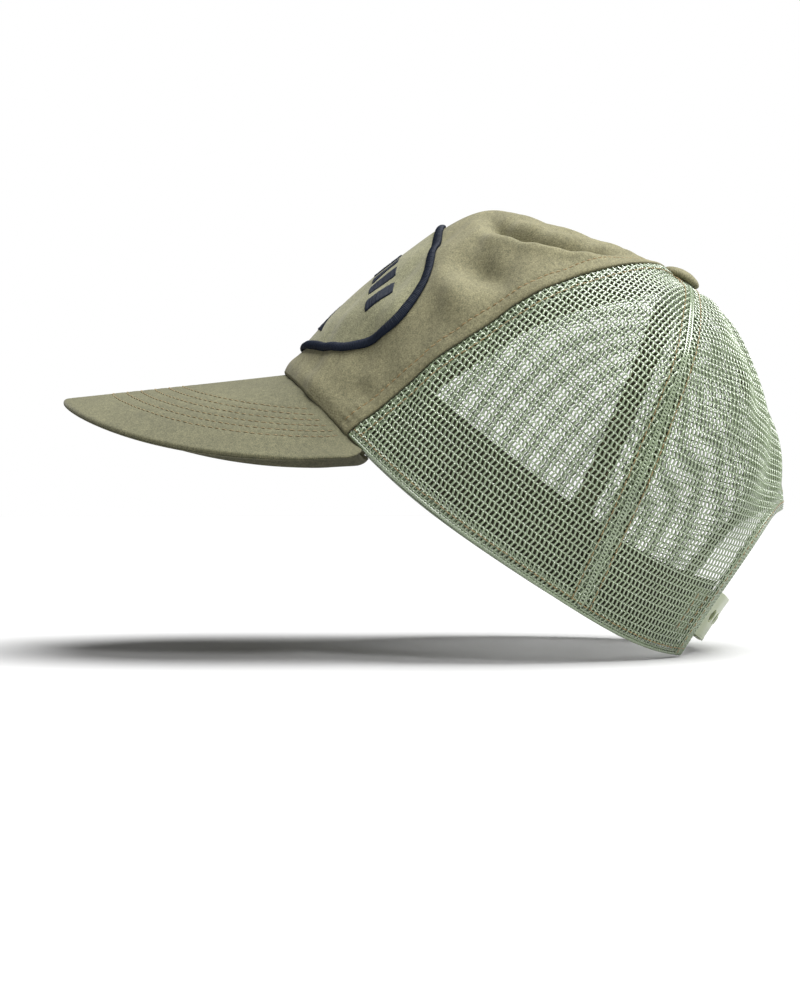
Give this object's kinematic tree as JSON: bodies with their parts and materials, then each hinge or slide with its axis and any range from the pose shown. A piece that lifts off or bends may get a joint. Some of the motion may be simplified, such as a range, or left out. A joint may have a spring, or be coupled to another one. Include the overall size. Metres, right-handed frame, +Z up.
{
  "type": "trucker cap",
  "caption": "Five-panel trucker cap with a twill front and curved brim, open net sides and back, a covered top button and an adjustable snap strap.",
  "frame": {"origin": "centre of the head opening, halfway between the front and back centre of the crown's bottom edge", "axes": "+Z up as worn, -Y to the front along the brim, +X to the wearer's left; the opening leans back 33.9 degrees, front up"},
  "size_m": [0.168, 0.2783, 0.1697],
  "materials": {
    "olive_twill": "matt cotton twill",
    "brim_twill": "matt cotton twill",
    "sage_net": "shiny knitted polyester net",
    "seam_tape": "matt cotton tape",
    "sweatband_cotton": "matt cotton",
    "brim_board": "matt sheet",
    "patch_twill": "matt cotton twill",
    "patch_navy": "satin thread",
    "button_metal": "painted",
    "strap_plastic": "satin, slightly see-through"
  },
  "bodies": {
    "crown": {"front_panel": "olive_twill", "front_lining": "seam_tape", "side_mesh_left": "sage_net", "side_mesh_right": "sage_net", "back_mesh_left": "sage_net", "back_mesh_right": "sage_net", "front_seam_tape_left": "seam_tape", "front_seam_tape_right": "seam_tape", "side_seam_tape_left": "seam_tape", "side_seam_tape_right": "seam_tape", "back_seam_tape": "seam_tape", "sweatband": "sweatband_cotton", "arch_binding": "sage_net", "brim_board": "brim_board", "brim_top_cover": "brim_twill", "brim_under_cover": "brim_twill", "patch_base": "patch_twill", "patch_border": "patch_navy", "patch_bars": "patch_navy", "patch_peak": "patch_navy", "button_shell": "olive_twill", "button_rivet": "button_metal", "strap_tab_left": "strap_plastic", "strap_tab_right": "strap_plastic"},
    "strap_left": {"hole_strap": "strap_plastic"},
    "strap_right": {"peg_strap": "strap_plastic"}
  },
  "joints": [
    {"name": "hole_strap_root", "type": "hinge", "parent": "crown", "child": "strap_left", "pos_m": [0.04073, 0.07726, -0.03661], "axis": [0, -0.5577, -0.83], "range_deg": [0, 75], "stiffness_Nm_per_rad": 0.02},
    {"name": "peg_strap_root", "type": "hinge", "parent": "crown", "child": "strap_right", "pos_m": [-0.04073, 0.07726, -0.03661], "axis": [0, -0.5577, -0.83], "range_deg": [0, 25], "stiffness_Nm_per_rad": 0.02}
  ]
}
